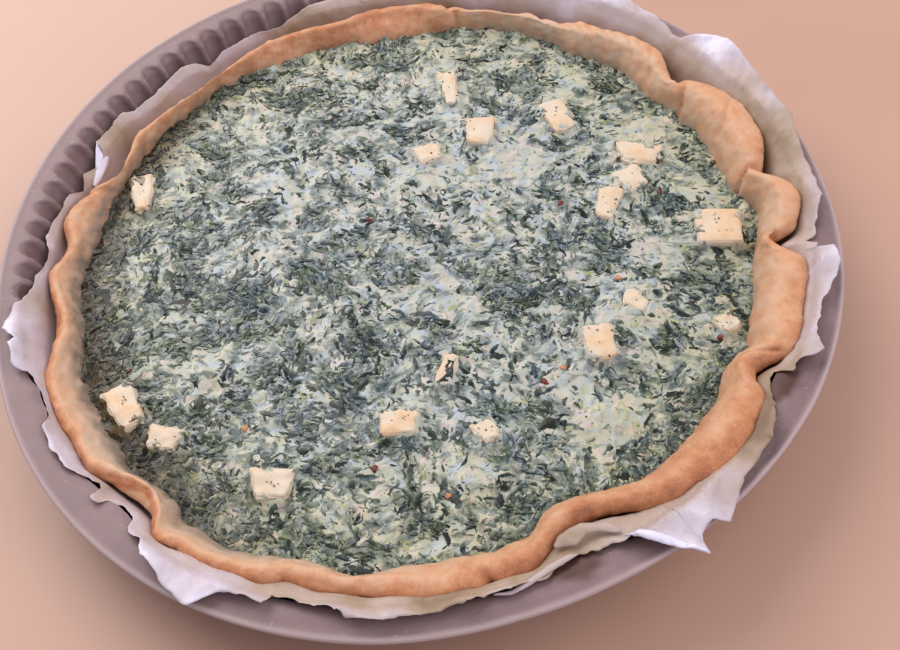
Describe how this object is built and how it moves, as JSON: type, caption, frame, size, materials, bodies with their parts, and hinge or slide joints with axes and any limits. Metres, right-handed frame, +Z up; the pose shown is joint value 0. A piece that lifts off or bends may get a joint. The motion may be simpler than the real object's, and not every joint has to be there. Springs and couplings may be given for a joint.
{
  "type": "spinach quiche",
  "caption": "Open spinach quiche with cheese cubes and a hand-folded pastry rim, still in its fluted silicone mould with baking parchment.",
  "frame": {"origin": "middle of the mould's flat underside", "axes": "+Z up, out of the filling; +X to the right and +Y to the back as the quiche is seen from the front"},
  "size_m": [0.3, 0.3001, 0.0402],
  "materials": {
    "silicone": "soft satin",
    "parchment": "thin, greasy in places",
    "pastry": "baked shortcrust",
    "custard": "set custard with spinach",
    "cheese": "matt, lightly toasted"
  },
  "bodies": {
    "root": {"mould": "silicone", "parchment": "parchment", "crust": "pastry", "filling": "custard", "cheese_01": "cheese", "cheese_02": "cheese", "cheese_03": "cheese", "cheese_04": "cheese", "cheese_05": "cheese", "cheese_06": "cheese", "cheese_07": "cheese", "cheese_08": "cheese", "cheese_09": "cheese", "cheese_10": "cheese", "cheese_11": "cheese", "cheese_12": "cheese", "cheese_13": "cheese", "cheese_14": "cheese", "cheese_15": "cheese", "cheese_16": "cheese", "cheese_17": "cheese", "cheese_18": "cheese"}
  },
  "joints": []
}
